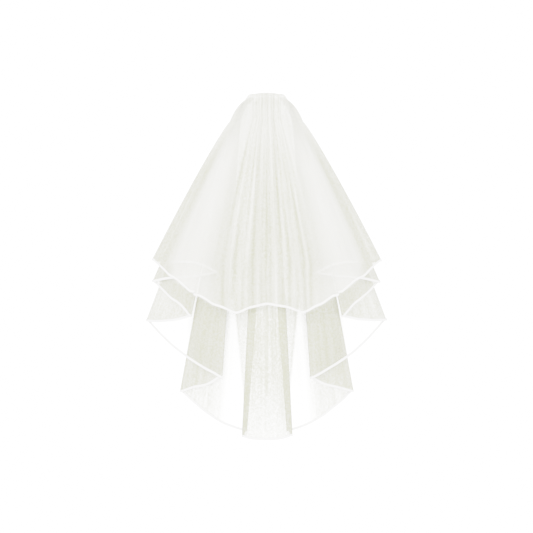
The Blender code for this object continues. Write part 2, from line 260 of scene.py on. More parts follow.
def depth(x, z, layer):
    """The Y of a layer of cloth at a place on the back. The outermost layer is 0. The next lie inside it."""
    across = min(abs(x) / reach(z), MOST_ACROSS)
    middle = between_rows(BACK_SECTIONS, z / MM, BACK_COLUMNS.index("middle_y")) * MM
    side = between_rows(BACK_SECTIONS, z / MM, BACK_COLUMNS.index("side_y")) * MM
    bend = 1 - math.sqrt(1 - ROUNDNESS * across * across)
    bend /= 1 - math.sqrt(1 - ROUNDNESS)
    return mix(middle, side, bend) + layer * layer_gap(x, z)


def heading_point(across, layer):
    """Where a rib leaves the gathered heading, from the upper tier at the back to the lower at the comb."""
    opened = smooth_step((abs(across) - HEADING_NARROW) / (HEADING_WIDE - HEADING_NARROW))
    stack = mix(HEADING_MIDDLE_STACK, HEADING_END_STACK, opened)
    bow = HEADING_BOW * across * across
    z = HEADING_Z - HEADING_FALL * across * across
    return HEADING_REACH * across, HEADING_Y + bow + (layer / LAST_LAYER - 0.5) * stack, z


def roll_place(crown, hem_x, hem_z, layer, share):
    """A point of a rib between the heading and the crown, where the upper tier rolls over."""
    across = crown / CROWN_REACH
    sideways = min(abs(across), 1.0)
    start = heading_point(across, layer)
    crown_point = rib_place(crown, hem_x, hem_z, layer, 0.0)
    rolled = 0.0
    if outermost(layer):
        rolled = 1 - smooth_step((sideways - ROLL_NARROW) / (ROLL_WIDE - ROLL_NARROW))
    leave = (
        start[0] + mix(LEAVE_OUT, ROLL_OUT, rolled) * across,
        start[1] - ROLL_BACK * rolled,
        start[2] + mix(mix(-LEAVE_DROP, LEAVE_SIDE_RISE, sideways**2), ROLL_RISE, rolled),
    )
    arrive = (
        crown_point[0] - mix(ARRIVE_INWARD, ROLL_INWARD, rolled) * across,
        crown_point[1] + mix(ARRIVE_MIDDLE_FORWARD, ARRIVE_SIDE_FORWARD, sideways**2),
        crown_point[2] + mix(ARRIVE_RISE, ROLL_ARRIVE_RISE, rolled),
    )
    return bezier(start, leave, arrive, crown_point, share)


def bezier(start, leave, arrive, end, share):
    rest = 1 - share
    weights = (rest**3, 3 * rest * rest * share, 3 * rest * share * share, share**3)
    return tuple(sum(w * p[axis] for w, p in zip(weights, (start, leave, arrive, end))) for axis in range(3))


def rib_place(crown, hem_x, hem_z, layer, share):
    z = mix(CROWN_Z, hem_z, share)
    x = mix(crown, hem_x, share**FLARE)
    y = depth(x, z, layer)
    if outermost(layer):
        y -= pleat_rise(x / reach(z), share)
    return x, y, z


def turn_ribs(row, side):
    """The ribs of a rounded turn from one layer to the next."""
    crown, hem_x, hem_z, layer = plain_rib(row, side)
    half_layer, way = (PLEAT_TURN_LAYERS, -1) if row[0].startswith("pleat") else (HALF_LAYER, 1)
    inward = -side if row[0] in INNER_TURNS else side
    found = []
    for angle in TURN_STEPS:
        turned = math.radians(angle)
        inset = inward * half_layer * (1 - math.cos(turned))
        place = layer + way * half_layer * math.sin(turned)
        found.append((crown - inset * TURN_AT_CROWN, hem_x - inset * TURN_AT_HEM, hem_z, place))
    return found


def plain_rib(row, side):
    _, crown, left_x, left_z, right_x, right_z, layer = row
    hem_x, hem_z = (left_x, left_z) if side < 0 else (right_x, right_z)
    return side * crown, hem_x, hem_z, layer


def upper_ribs(side):
    """Half of the upper tier, from the middle to where its side fold begins, with close ribs over the
    pleats."""
    rows = [plain_rib(row, side) for row in UPPER_HEM]
    rows.append(turn_ribs(TURNS[0], side)[0])
    shares = [step / PLEATED_RIBS * PLEATED_SHARE for step in range(PLEATED_RIBS + 1)]
    shares += [mix(PLEATED_SHARE, 1, step / PLAIN_RIBS) for step in range(1, PLAIN_RIBS + 1)]
    return [on_outline(rows, share * rows[-1][0]) for share in shares]


def on_outline(rows, crown):
    """The rib with this place at the crown, between the two rows on either side of it."""
    for near, far in zip(rows, rows[1:]):
        if abs(crown) <= abs(far[0]) + MISS:
            share = (crown - near[0]) / (far[0] - near[0])
            eased = mix(share, smooth_step(share), HEM_EASING)
            x, z = mix(near[1], far[1], share), mix(near[2], far[2], eased)
            return crown, x, z, mix(near[3], far[3], share)
    return rows[-1]


def fold_ribs(side):
    """The folds at one side, from the middle of the first turn to the middle of the last."""
    found = turn_ribs(TURNS[0], side)[1:]
    for row, following in zip(TURNS, TURNS[1:]):
        found += [plain_rib(point, side) for point in BETWEEN[row[0]]]
        found += turn_ribs(following, side)
    return found[:-1]


def lower_ribs(side):
    """Half of the lower tier, from the last side fold to the middle."""
    found = turn_ribs(TURNS[-1], side)[-1:]
    found += [plain_rib(row, side) for row in LOWER_HEM]
    for row in PLEAT_TURNS:
        found += turn_ribs(row, side)[::2]
    return found + [plain_rib(row, side) for row in PLEAT_PANEL]


def half_veil(side):
    """The ribs of one half, sheet by sheet, from the middle of the upper tier to the middle of the lower one.
    The sheets part just behind the first and the last turn."""
    upper, folds, lower = upper_ribs(side), fold_ribs(side), lower_ribs(side)
    first_seam = len(upper) + len(TURN_STEPS) - 1
    last_seam = len(upper) + len(folds) - len(TURN_STEPS)
    ribs = upper + folds + lower
    return ribs[: first_seam + 1], ribs[first_seam : last_seam + 1], ribs[last_seam:]


# Fineness of the sheets
COLUMN_STEP = 3.2
ROLL_STEPS = 20
FALL_STEPS = 88
# How far apart two layers count, the least distance between ribs, and how it sets the curve through them
LAYER_APART = 10
LEAST_APART = 0.5
SPACING_POWER = 0.5

# Soft folds that the solids don't have: wavelength, height, phase and fade to the crown
SOFT_FOLDS = (
    (94.0, 0.15, 0.4, 0.7),
    (57.0, 0.10, 1.9, 0.8),
    (31.0, 0.05, 3.1, 0.5),
    (17.0, 0.03, 0.7, 0.2),
)
FOLD_BEND = 0.8
FOLD_BEND_WAVE = 83.0
OUTER_ROOM = 12.0 * MM
LEAST_ROOM = 0.25
GATHER_WAVE = 9.0
GATHER_HEIGHT = 0.55 * MM
GATHER_FADE = 0.42
GATHER_GROWTH = 3
UNEVEN_HEIGHT = 0.10
UNEVEN_WAVE = 70.0
UNEVEN_DOWN = 1.7
UNEVEN_SEED = 3.1
UNEVEN_AT_CROWN = 0.3
HEM_FLUTTER = 1.6 * MM
HEM_FLUTTER_WAVE = 38.0
HEM_FLUTTER_SEED = (1.3, 0.5)
HEM_FLUTTER_POWER = 6
CALM_NEAR_MIDDLE = 30.0
# How much rounder the top of the roll is than in the solids, and over what share of the half width
TOP_LIFT = 4.0 * MM
TOP_HALF = 0.48
# How far a soft fold leans sideways, as a share of its height
SIDEWAYS_SHARE = 0.25

# The lapped pleat in the upper hem, where the cloth doubles back over itself
LAPPED_PLEAT_AT = 192.0
LAPPED_PLEAT_HALF = 12.0
LAPPED_PLEAT_FOLD = 8.5 * MM
LAPPED_PLEAT_LIFT = 1.5 * MM
LAPPED_PLEAT_START = 0.72

# The box pleat's inner fold swings towards the middle between the crown and the hem
RETURN_FROM = 1531.0
RETURN_TO = 1566.0
RETURN_SWING = 13.0 * MM
RETURN_MIDDLE = 1541.0
RETURN_HALF = 17.0

# Ribbon
RIBBON_HALF = 0.45 * MM
RIBBON_PUCKER = 0.18 * MM
RIBBON_PUCKER_WAVE = 7.0
RIBBON_BEND = 0.7
RIBBON_BEND_WAVE = 31.0
RIBBON_ROWS_UP = 2
STITCH_LENGTH = 3.4
STITCH_FROM_EDGE = 4.9
STITCH_NARROW = 2.2
STITCH_SHARP = 2.0
RIBBON_MIDDLE = 3.0
RIBBON_RIM_FROM = 2.2
RIBBON_RIM_SHARP = 1.6
RIBBON_RIM_SHADE = 0.75
# How far up from the hem each point of the ribbon's section is, as a share of its width, and on which side
RIBBON_SECTION = (
    (0.0, 0.0), (0.04, 0.85), (0.2, 1.0), (0.55, 0.9), (0.9, 1.0), (1.0, 0.8),
    (1.0, -0.8), (0.9, -1.0), (0.55, -0.9), (0.2, -1.0), (0.04, -0.85),
)

# Heading and comb
SHIRR_WAVE = 2.3
SHIRR_HEIGHT = 0.55 * MM
SHIRR_ROWS = (-3.2, 0.0, 3.2)
SHIRR_ROW_WIDTH = 0.45
SHIRR_ROW_DEPTH = 0.5 * MM
SHIRR_BEND = 0.6
SHIRR_BEND_WAVE = 9.0
SHIRR_LEAN = 0.4
SHIRR_EDGE = 0.05
SHIRR_END_POWER = 14
SHIRR_END_LEAST = 0.05
SHIRR_COLUMNS = 190
SHIRR_RING = 28
SHIRR_ROUND = 3 * MM
THREAD_RADIUS = 0.35 * MM
THREAD_SIDES = 8
LOOP_STEPS = 24
LOOP_LEAN = 0.5 * MM
CORNER_POWER = 0.45
COMB_END = 3 * TOOTH_RADIUS

# How much of the light the net stops, which is more where it is gathered. The first column is the distance
# along the hem from the middle of the upper tier, and each of the others is a share of the way down.
FULLNESS_SHARES = (0.0, 0.5, 0.68, 0.82, 1.0)
FULLNESS = (
    (0, 0.78, 0.78, 0.76, 0.75, 0.74),
    (120, 0.78, 0.78, 0.76, 0.75, 0.74),
    (170, 0.66, 0.58, 0.58, 0.50, 0.40),
    (260, 0.60, 0.52, 0.52, 0.47, 0.40),
    (290, 0.80, 0.80, 0.80, 0.80, 0.80),
    (381, 0.80, 0.78, 0.76, 0.76, 0.76),
    (430, 0.45, 0.40, 0.42, 0.43, 0.45),
    (519, 0.50, 0.50, 0.52, 0.53, 0.55),
    (600, 0.40, 0.38, 0.44, 0.48, 0.54),
    (670, 0.60, 0.63, 0.69, 0.73, 0.79),
    (740, 0.60, 0.63, 0.74, 0.78, 0.84),
    (838, 0.50, 0.50, 0.75, 0.82, 0.90),
    (880, 0.40, 0.45, 0.75, 0.82, 0.92),
    (930, 0.60, 0.60, 0.75, 0.81, 0.88),
    (963, 0.60, 0.60, 0.70, 0.71, 0.72),
    (985, 0.50, 0.50, 0.50, 0.42, 0.22),
    (1085, 0.40, 0.50, 0.52, 0.36, 0.20),
    (1110, 0.40, 0.60, 0.85, 0.70, 0.24),
    (1135, 0.50, 0.70, 0.90, 0.82, 0.60),
    (1212, 0.60, 0.80, 0.82, 0.82, 0.82),
    (1255, 0.60, 0.85, 0.88, 0.88, 0.88),
    (1333, 0.60, 0.85, 0.88, 0.87, 0.85),
    (1375, 0.62, 0.89, 0.93, 0.85, 0.74),
    (1450, 0.72, 0.92, 0.89, 0.78, 0.64),
    (1474, 0.77, 0.90, 0.47, 0.39, 0.28),
    (1529, 0.75, 0.84, 0.38, 0.30, 0.20),
    (1536, 0.80, 0.92, 0.95, 0.93, 0.90),
    (1568, 0.85, 0.95, 0.96, 0.94, 0.92),
    (1580, 0.82, 0.97, 0.97, 0.86, 0.62),
    (1629, 0.82, 0.97, 0.97, 0.84, 0.58),
)

# Painted shade on the net, tinted olive: 0 where it is lit, its most where most folds lie behind each other.
# The columns are the share of the half width, the tone above the upper hem, and the tone below it.
PAINTED_SHADE_TONES = (
    (0.00, 0.78, 1.10),
    (0.28, 0.78, 1.10),
    (0.34, 0.74, 0.95),
    (0.44, 0.62, 1.00),
    (0.52, 0.30, 1.00),
    (0.62, 0.04, 1.00),
    (0.78, 0.08, 0.95),
    (0.86, 0.90, 0.90),
    (1.10, 1.00, 0.90),
)
# The upper hem as it shows from behind: distance from the middle and height
UPPER_EDGE = tuple((right_x, right_z) for _, _, _, _, right_x, right_z, _ in UPPER_HEM)
TONE_DOME = 0.5
DOME_FROM = -0.04
DOME_BLEND = 0.13
TONE_BLEND = 14.0 * MM
STREAK_PATCH = 61.0
STREAK_STEADY = 0.65
STREAK_PATCHY = 0.35
STREAK_SHIFT = 40
CREASES_FROM = 1400.0
CREASE_DENSER = 0.4
MOST_FULL = 0.97
# The thin fold line beside the box pleat, a line of painted shade, where the tier turns denser and has more
# painted shade: top_reach, top_z, low_reach, low_z, half_width, darker and denser_inside
SIDE_CREASE = (75, -532, 56, -725, 2.8, 0.55, 0.75)
# Where a crease begins and ends, as shares of its length, and over what shares it fades there
CREASE_ENDS = (-0.15, 1.15, 0.15, 0.3)
SIDE_CREASE_ENDS = (-0.3, 1.5, 0.2, 0.6)
PLEAT_FROM = 1532.0
# Streaks of painted shade down the pleats' hollows, and of painted light, darker below 0, on their crests:
# place as a share of the half width, half width of the streak, and how much darker
PLEAT_SHADE_STREAKS = (
    (-0.372, 0.018, 0.50),
    (-0.318, 0.012, -0.30),
    (-0.272, 0.014, 0.34),
    (-0.232, 0.010, -0.16),
    (-0.205, 0.012, 0.26),
    (-0.166, 0.014, -0.42),
    (-0.120, 0.013, 0.34),
    (-0.078, 0.010, -0.26),
    (-0.040, 0.010, 0.22),
    (0.000, 0.014, 0.40),
    (0.034, 0.010, 0.22),
    (0.082, 0.016, -0.46),
    (0.136, 0.012, 0.36),
    (0.166, 0.009, -0.20),
    (0.198, 0.016, 0.42),
    (0.236, 0.010, -0.20),
    (0.266, 0.012, 0.28),
    (0.318, 0.014, 0.48),
    (0.350, 0.010, -0.26),
    (0.378, 0.012, 0.30),
    (0.430, 0.020, -0.26),
)
# Creases of the lower tier as thin lines of painted shade, and of painted light where darker is below 0:
# top_x, top_z, low_x, low_z, half_width and darker
CREASES = (
    (0, -520, 0, -715, 3.0, 0.9),
    (-24, -520, -22, -690, 3.0, 0.2),
    (14, -520, 16, -700, 3.0, 0.2),
    (-10, -520, -9, -650, 3.4, -0.14),
    (7, -520, 8, -640, 3.0, -0.12),
)

# Net, streaks and colours of the tulle, its colour darkening to an olive-tinted painted shade
NET_PITCH = 1.7
# How much of a net thread's turned direction is across the cloth, and how much down it
NET_SLANT = (0.866, 0.5)
THREAD_SHARP = 1.7
NET_SHARE = 0.5
LEAST_FULL = 0.02
THREAD_MEAN = 0.24
STREAK_SHARE = 0.55
MOTTLE_SHARE = 1.2
STREAK_TONE = 0.8
MOTTLE_TONE = 2.2
MOTTLE_SCALE = 210.0
# The ivory of the net, and the olive-tinted painted shade that it darkens towards
TULLE_LIGHT = (0.90, 0.90, 0.80, 1.0)
TULLE_PAINTED_SHADE = (0.282, 0.306, 0.134, 1.0)
MOST_PAINTED_SHADE = 1.2

# How fine a grain is each way along the cloth, a millimetre
STREAK_GRAIN = (0.085, 0.0035)
FIBRE_GRAIN = (1.4, 0.25)
FLOAT_GRAIN = (0.35, 5.0)
TWIST_GRAIN = (7.0, 3.0)
# How fine the comb's scratches are, a metre
SCRATCH_GRAIN = (60.0, 900.0, 900.0)

# The other finishes, in their darker and their lighter colour. On the gathered net, the satin and the thread
# the darker colour is partly painted shade in the troughs of their puckers and twist, and the ribbon's rim
# colour is painted shade along its edges
WHITE = (1.0, 1.0, 1.0, 1.0)
GATHERED_COLOURS = ((0.70, 0.69, 0.60, 1.0), (0.90, 0.89, 0.83, 1.0))
SATIN_COLOURS = ((0.95, 0.945, 0.90, 1.0), (1.0, 0.995, 0.965, 1.0))
STITCH_COLOUR = (0.86, 0.84, 0.76, 1.0)
RIM_SHADE_COLOUR = (0.50, 0.49, 0.42, 1.0)
COMB_COLOURS = ((0.74, 0.75, 0.73, 1.0), (0.90, 0.90, 0.87, 1.0))
THREAD_COLOURS = ((0.78, 0.76, 0.68, 1.0), (0.95, 0.94, 0.89, 1.0))
PAPER_COLOURS = ((0.93, 0.93, 0.93, 1.0), (0.95, 0.95, 0.95, 1.0))

# Studio
PICTURE_WIDTH = 1.3325
PICTURE_MIDDLE_Z = -0.409
CAMERA_DISTANCE = 9.0
SENSOR = 36.0
FLOOR_Z = -1.10
STUDIO_GLOW = 16.5
WORLD_LIGHT = 7.8
# The backdrop's profile: distance from the middle and height above the floor, in metres
STUDIO_PROFILE = (
    (0.0, 0.0), (6.0, 0.0), (20.0, 0.0), (28.0, 2.0), (33.0, 8.0), (34.0, 16.0), (28.0, 28.0), (0.0, 34.0),
)
STUDIO_SIDES = 64
# The soft lights: name, place, size and watts
SOFT_LIGHTS = (
    ("key", (-1.9, -4.2, 1.2), 1.8, 560.0),
    ("fill", (2.6, -3.6, 0.1), 2.4, 240.0),
    ("back", (0.4, 2.4, 1.6), 1.6, 80.0),
)


class Value:
    """A number from a shader socket, with the arithmetic that the finishes use."""

    def __init__(self, tree, socket):
        self.tree = tree
        self.socket = socket

    def joined(self, operation, first, second=None):
        made = self.tree.nodes.new("ShaderNodeMath")
        made.operation = operation
        for socket, value in zip(made.inputs, (first, second)):
            if isinstance(value, Value):
                self.tree.links.new(value.socket, socket)
            elif value is not None:
                socket.default_value = value
        return Value(self.tree, made.outputs[0])

    def __add__(self, other):
        return self.joined("ADD", self, other)

    __radd__ = __add__

    def __mul__(self, other):
        return self.joined("MULTIPLY", self, other)

    __rmul__ = __mul__

    def __sub__(self, other):
        return self.joined("SUBTRACT", self, other)

    def __rsub__(self, other):
        return self.joined("SUBTRACT", other, self)

    def sine(self):
        return self.joined("SINE", self)

    def size(self):
        return self.joined("ABSOLUTE", self)

    def least(self, other):
        return self.joined("MINIMUM", self, other)

    def most(self, other):
        return self.joined("MAXIMUM", self, other)


class Finish:
    """A material, built one node at a time."""

    def __init__(self, name):
        self.material = bpy.data.materials.new(name)
        self.material.use_nodes = True
        self.tree = self.material.node_tree
        self.shader = self.tree.nodes["Principled BSDF"]

    def node(self, kind, settings=None, **inputs):
        """A node of a kind, its settings first and then the values or links of its sockets."""
        made = self.tree.nodes.new("ShaderNode" + kind)
        for name, value in (settings or {}).items():
            setattr(made, name, value)
        self.fill(made, inputs)
        return made

    def feed(self, socket, value):
        if isinstance(value, Value):
            self.tree.links.new(value.socket, socket)
        elif isinstance(value, bpy.types.NodeSocket):
            self.tree.links.new(value, socket)
        else:
            socket.default_value = value

    def value(self, socket):
        return Value(self.tree, socket)

    def fill(self, made, inputs):
        for name, value in inputs.items():
            self.feed(made.inputs[name.replace("_", " ")], value)

    def set(self, **inputs):
        self.fill(self.shader, inputs)

    def attribute(self, name):
        return self.value(self.node("Attribute", {"attribute_name": name}).outputs["Fac"])

    def along_cloth(self):
        """The cloth's own two directions in millimetres: across the ribs and down them."""
        coordinates = self.node("TexCoord").outputs["UV"]
        parts = self.node("SeparateXYZ", Vector=coordinates)
        return self.value(parts.outputs["X"]) * 1000.0, self.value(parts.outputs["Y"]) * 1000.0

    def drawn_grain(self, across, down, fineness, detail, rough):
        """Grain that is drawn out along the cloth, finer one way than the other."""
        place = self.node("CombineXYZ", X=across * fineness[0], Y=down * fineness[1]).outputs["Vector"]
        return self.grain(place, 1.0, detail, rough)

    def grain(self, vector, scale, detail=2.0, rough=0.5):
        made = self.node("TexNoise", None, Vector=vector, Scale=scale, Detail=detail, Roughness=rough)
        return self.value(made.outputs["Fac"])

    def blend(self, share, first, second):
        made = self.tree.nodes.new("ShaderNodeMix")
        made.data_type = "RGBA"
        colours = [socket for socket in made.inputs if socket.type == "RGBA"]
        self.feed(made.inputs[0], share)
        self.feed(colours[0], first)
        self.feed(colours[1], second)
        return next(socket for socket in made.outputs if socket.type == "RGBA")

    def relief(self, height, strength, distance):
        made = self.node("Bump", None, Height=height)
        made.inputs["Strength"].default_value = strength
        made.inputs["Distance"].default_value = distance
        return made.outputs["Normal"]


def tulle_finish():
    """Fine diamond net with streaks where it is gathered, denser to look through where it is fuller. Its
    colour darkens to an olive-tinted painted shade where folds lie behind each other, down the pleats and at
    creases.
    """
    finish = Finish("ivory tulle net")
    across, down = finish.along_cloth()
    turned_across, turned_down = across * NET_SLANT[0], down * NET_SLANT[1]
    rising = (turned_across + turned_down) * (math.pi / NET_PITCH)
    falling = (turned_across - turned_down) * (math.pi / NET_PITCH)
    hole = rising.sine().size().least(falling.sine().size())
    thread = 1.0 - (hole * THREAD_SHARP).least(1.0)
    streaks = finish.drawn_grain(across, down, STREAK_GRAIN, 3.0, 0.6)
    mottle = finish.grain(finish.node("TexCoord").outputs["Object"], MOTTLE_SCALE, 4.0, 0.8)
    fullness, tone = finish.attribute("fullness"), finish.attribute("tone")
    uneven = (streaks - 0.5) * STREAK_SHARE + (mottle - 0.5) * MOTTLE_SHARE
    alpha = fullness * ((thread - THREAD_MEAN) * NET_SHARE + 1.0 + uneven)
    # The tone attribute is painted shade, and the streak and mottle grain vary it at random
    shade = tone + (streaks - 0.5) * STREAK_TONE + (mottle - 0.5) * MOTTLE_TONE
    finish.set(
        Base_Color=finish.blend((shade * (1 / MOST_PAINTED_SHADE)).least(1.0).most(0.0), TULLE_LIGHT, TULLE_PAINTED_SHADE),
        Alpha=alpha.least(MOST_FULL).most(LEAST_FULL),
        Roughness=0.62,
        Sheen_Weight=0.15,
        Sheen_Roughness=0.4,
        Normal=finish.relief(thread * 0.5 + streaks, 0.35, 0.0006),
    )
    return finish.material


def gathered_finish():
    """The same net bunched so closely that little shows through, with painted shade in its puckers."""
    finish = Finish("gathered tulle")
    across, down = finish.along_cloth()
    puckers = ((across * (2 * math.pi / SHIRR_WAVE)).sine() + 1.0) * 0.5
    fibres = finish.drawn_grain(across, down, FIBRE_GRAIN, 4.0, 0.7)
    # Painted shade in the troughs of the puckers, and the fibres' grain
    tone = (puckers * 0.6 + fibres * 0.5).least(1.0)
    finish.set(
        Base_Color=finish.blend(tone, *GATHERED_COLOURS),
        Roughness=0.7,
        Sheen_Weight=0.3,
        Normal=finish.relief(fibres + puckers, 0.5, 0.0006),
    )
    return finish.material


def satin_finish():
    """Ivory satin: long floats across the ribbon, painted shade along its two edges and in the troughs of its
    puckers, and the stitches that hold it to the net.
    """
    finish = Finish("ivory satin ribbon")
    along, over = finish.along_cloth()
    floats = finish.drawn_grain(along, over, FLOAT_GRAIN, 3.0, 0.6)
    stitch = (along * (2 * math.pi / STITCH_LENGTH)).sine()
    seam_line = 1.0 - ((over - STITCH_FROM_EDGE).size() * STITCH_NARROW).least(1.0)
    dash = (stitch * STITCH_SHARP).least(1.0).most(0.0) * seam_line
    pucker = ((along * (2 * math.pi / RIBBON_PUCKER_WAVE)).sine() + 1.0) * 0.5
    # Painted shade in the troughs of the puckers; the floats are the satin's grain
    tone = (floats * 0.7 + pucker * 0.35).least(1.0)
    colour = finish.blend(tone, *SATIN_COLOURS)
    stitched = finish.blend(dash, colour, STITCH_COLOUR)
    # Painted shade along both edges of the ribbon
    shaded_rim = (((over - RIBBON_MIDDLE).size() - RIBBON_RIM_FROM) * RIBBON_RIM_SHARP).least(1.0).most(0.0)
    rim_shaded = finish.blend(shaded_rim * RIBBON_RIM_SHADE, stitched, RIM_SHADE_COLOUR)
    finish.set(
        Base_Color=rim_shaded,
        Roughness=floats * 0.12 + 0.28,
        Sheen_Weight=0.2,
        Normal=finish.relief(floats * 0.3 + pucker * 0.4 - dash * 0.8, 0.45, 0.0005),
    )
    return finish.material


def comb_finish():
    """Clear frosted plastic with faint mould flow and finer scratches along the spine."""
    finish = Finish("frosted comb plastic")
    place = finish.node("TexCoord").outputs["Object"]
    flow = finish.grain(place, 90.0, 3.0, 0.5)
    stretched = finish.node("Mapping", None, Vector=place, Scale=SCRATCH_GRAIN).outputs[0]
    scratches = finish.grain(stretched, 1.0)
    finish.set(
        Base_Color=finish.blend(flow, *COMB_COLOURS),
        Roughness=scratches * 0.18 + 0.2,
        Coat_Weight=0.3,
        Normal=finish.relief(scratches, 0.15, 0.0003),
    )
    return finish.material


def thread_finish():
    finish = Finish("sewing thread")
    along, round_it = finish.along_cloth()
    # Painted shade in the grooves of the twist, lighter on the plies
    twist = ((along * TWIST_GRAIN[0] + round_it * TWIST_GRAIN[1]).sine() + 1.0) * 0.5
    finish.set(
        Base_Color=finish.blend(twist, *THREAD_COLOURS),
        Roughness=0.55,
        Sheen_Weight=0.2,
        Normal=finish.relief(twist, 0.6, 0.0003),
    )
    return finish.material


def studio_finish():
    """Pale paper, lit so evenly that floor and backdrop read as one white."""
    finish = Finish("white studio paper")
    paper = finish.grain(finish.node("TexCoord").outputs["Object"], 3.0, 2.0, 0.5)
    finish.set(
        Base_Color=finish.blend(paper, *PAPER_COLOURS),
        Roughness=0.9,
        Emission_Color=WHITE,
        Emission_Strength=STUDIO_GLOW,
    )
    return finish.material


def closed_hem():
    """All the ribs round the hem, from the lower middle over the left side and the right side back to it,
    and the places in that list where one sheet ends and the next begins."""
    upper_left, cascade_left, lower_left = half_veil(-1)
    upper_right, cascade_right, lower_right = half_veil(1)
    half_left = upper_left + cascade_left[1:] + lower_left[1:]
    half_right = upper_right + cascade_right[1:] + lower_right[1:]
    ribs = half_left[::-1] + half_right[1:]
    seams = [0]
    for sheet in (lower_left, cascade_left, upper_left[1:] + upper_right, cascade_right, lower_right):
        seams.append(seams[-1] + len(sheet) - 1)
    return ribs, seams


def apart(near, far):
    """The distance between two ribs at the hem, in millimetres."""
    return math.dist((near[1], near[2], near[3] * LAYER_APART), (far[1], far[2], far[3] * LAYER_APART))


def smooth_ribs(ribs, step):
    """Finer ribs on a smooth closed curve through the given ones, about a step apart at the hem, each with
    its distance along the hem, and where each given rib is in the new list."""
    places = [0.0]
    lengths = [0.0]
    for near, far in zip(ribs, ribs[1:]):
        places.append(places[-1] + max(apart(near, far), LEAST_APART) ** SPACING_POWER)
        lengths.append(lengths[-1] + apart(near, far))
    last = len(ribs) - 1
    slopes = []
    for index in range(1, last):
        width = places[index + 1] - places[index - 1]
        slopes.append([(b - a) / width for a, b in zip(ribs[index - 1], ribs[index + 1])])
    width = places[1] + places[last] - places[last - 1]
    closing = [(b - a) / width for a, b in zip(ribs[last - 1], ribs[1])]
    slopes = [closing] + slopes + [closing]
    found, marks = [], []
    for index, (near, far) in enumerate(zip(ribs, ribs[1:])):
        marks.append(len(found))
        width = places[index + 1] - places[index]
        length = lengths[index + 1] - lengths[index]
        count = max(2, round(length / step))
        for part in range(count):
            share = part / count
            rib = [
                hermite(a, b, leaving * width, arriving * width, share)
                for a, b, leaving, arriving in zip(near, far, slopes[index], slopes[index + 1])
            ]
            found.append((rib, lengths[index] + share * length))
    marks.append(len(found))
    found.append((list(ribs[-1]), lengths[-1]))
    return found, marks, lengths


def hermite(first, last, leaving, arriving, share):
    squared, cubed = share * share, share**3
    return (
        (2 * cubed - 3 * squared + 1) * first + (cubed - 2 * squared + share) * leaving
        + (3 * squared - 2 * cubed) * last + (cubed - squared) * arriving
    )


def row_value(rows, key, column):
    """A table's value at a key, in a straight line from row to row. The first column rises going down."""
    for above, below in zip(rows, rows[1:]):
        if key <= below[0]:
            share = min(max((key - above[0]) / (below[0] - above[0]), 0.0), 1.0)
            return mix(above[column], below[column], share)
    return rows[-1][column]


def drape(point, rib, along, share, length):
    """A point of the sheet with the soft folds, gathers and unevenness that the solids leave out. along is
    the distance along the hem from the middle of the upper tier, and share runs from -1 at the heading to 1
    at the hem. Near the lower middle the folds fade, because the two halves meet there."""
    down = max(share, 0.0)
    outer = outermost(rib[3])
    room = OUTER_ROOM * down if outer else layer_gap(point[0], point[2]) * min(1.0, LEAST_ROOM + down)
    push = 0.0
    for wavelength, height, phase, fade in SOFT_FOLDS:
        bent = along / wavelength * 2 * math.pi + phase + FOLD_BEND * math.sin(along / FOLD_BEND_WAVE)
        push += height * down**fade * math.sin(bent)
    wander = noise.noise(Vector((along / UNEVEN_WAVE, share * UNEVEN_DOWN, UNEVEN_SEED)))
    push += UNEVEN_HEIGHT * wander * (UNEVEN_AT_CROWN + down)
    gathers = max(1.0 - down / GATHER_FADE, 0.0) * GATHER_HEIGHT * math.sin(along / GATHER_WAVE * 2 * math.pi)
    gathers *= min(1.0, (share + 1) * GATHER_GROWTH)
    flutter = noise.noise(Vector((along / HEM_FLUTTER_WAVE, *HEM_FLUTTER_SEED)))
    flutter *= HEM_FLUTTER * down**HEM_FLUTTER_POWER
    calm = smooth_step((length - abs(along)) / CALM_NEAR_MIDDLE)
    lap_x, lap_y = lapped_pleat(along, down)
    swing = max(1 - abs(abs(along) - RETURN_MIDDLE) / RETURN_HALF, 0.0) * RETURN_SWING
    swing *= math.sin(math.pi * down)
    crest = TOP_LIFT * (1 - (rib[0] * MM / CROWN_REACH / TOP_HALF) ** 2) if outer else 0.0
    crest = max(crest, 0.0) * math.sin(math.pi * min(share + 1, 1.0))
    return (
        point[0] + room * push * SIDEWAYS_SHARE * calm + lap_x - math.copysign(swing, along),
        point[1] + (room * push + gathers) * calm + lap_y,
        point[2] + flutter * calm + crest,
    )


def lapped_pleat(along, down):
    """How far the lapped pleat in the upper hem moves the cloth, sideways and out of its plane."""
    place = (abs(along) - LAPPED_PLEAT_AT) / LAPPED_PLEAT_HALF
    if abs(place) >= 1:
        return 0.0, 0.0
    grown = smooth_step((down - LAPPED_PLEAT_START) / (1 - LAPPED_PLEAT_START))
    turned = math.sin(math.pi * place) * grown
    return -math.copysign(LAPPED_PLEAT_FOLD, along) * turned, LAPPED_PLEAT_LIFT * turned


def sheet_line(rib, along, length, steps):
    """One line of a sheet, from the heading to the hem, with the share of each point down the fall."""
    roll_steps, fall_steps = steps
    place = (rib[0] * MM, rib[1] * MM, rib[2] * MM, rib[3])
    line = []
    for step in range(roll_steps):
        share = step / roll_steps
        line.append((drape(roll_place(*place, share), rib, along, share - 1, length), share - 1))
    for step in range(fall_steps + 1):
        share = step / fall_steps
        line.append((drape(rib_place(*place, share), rib, along, share, length), share))
    return line


def fullness_down(along):
    """How much of the light the net stops down one line, as rows of a share down it and a value."""
    shares = enumerate(FULLNESS_SHARES, 1)
    return [(share, row_value(FULLNESS, abs(along), column)) for column, share in shares]


def return_painted_shade(along):
    """The hidden returns of the box pleat, three layers deep, take the most painted shade."""
    return MOST_PAINTED_SHADE if RETURN_FROM < abs(along) < RETURN_TO else 0.0


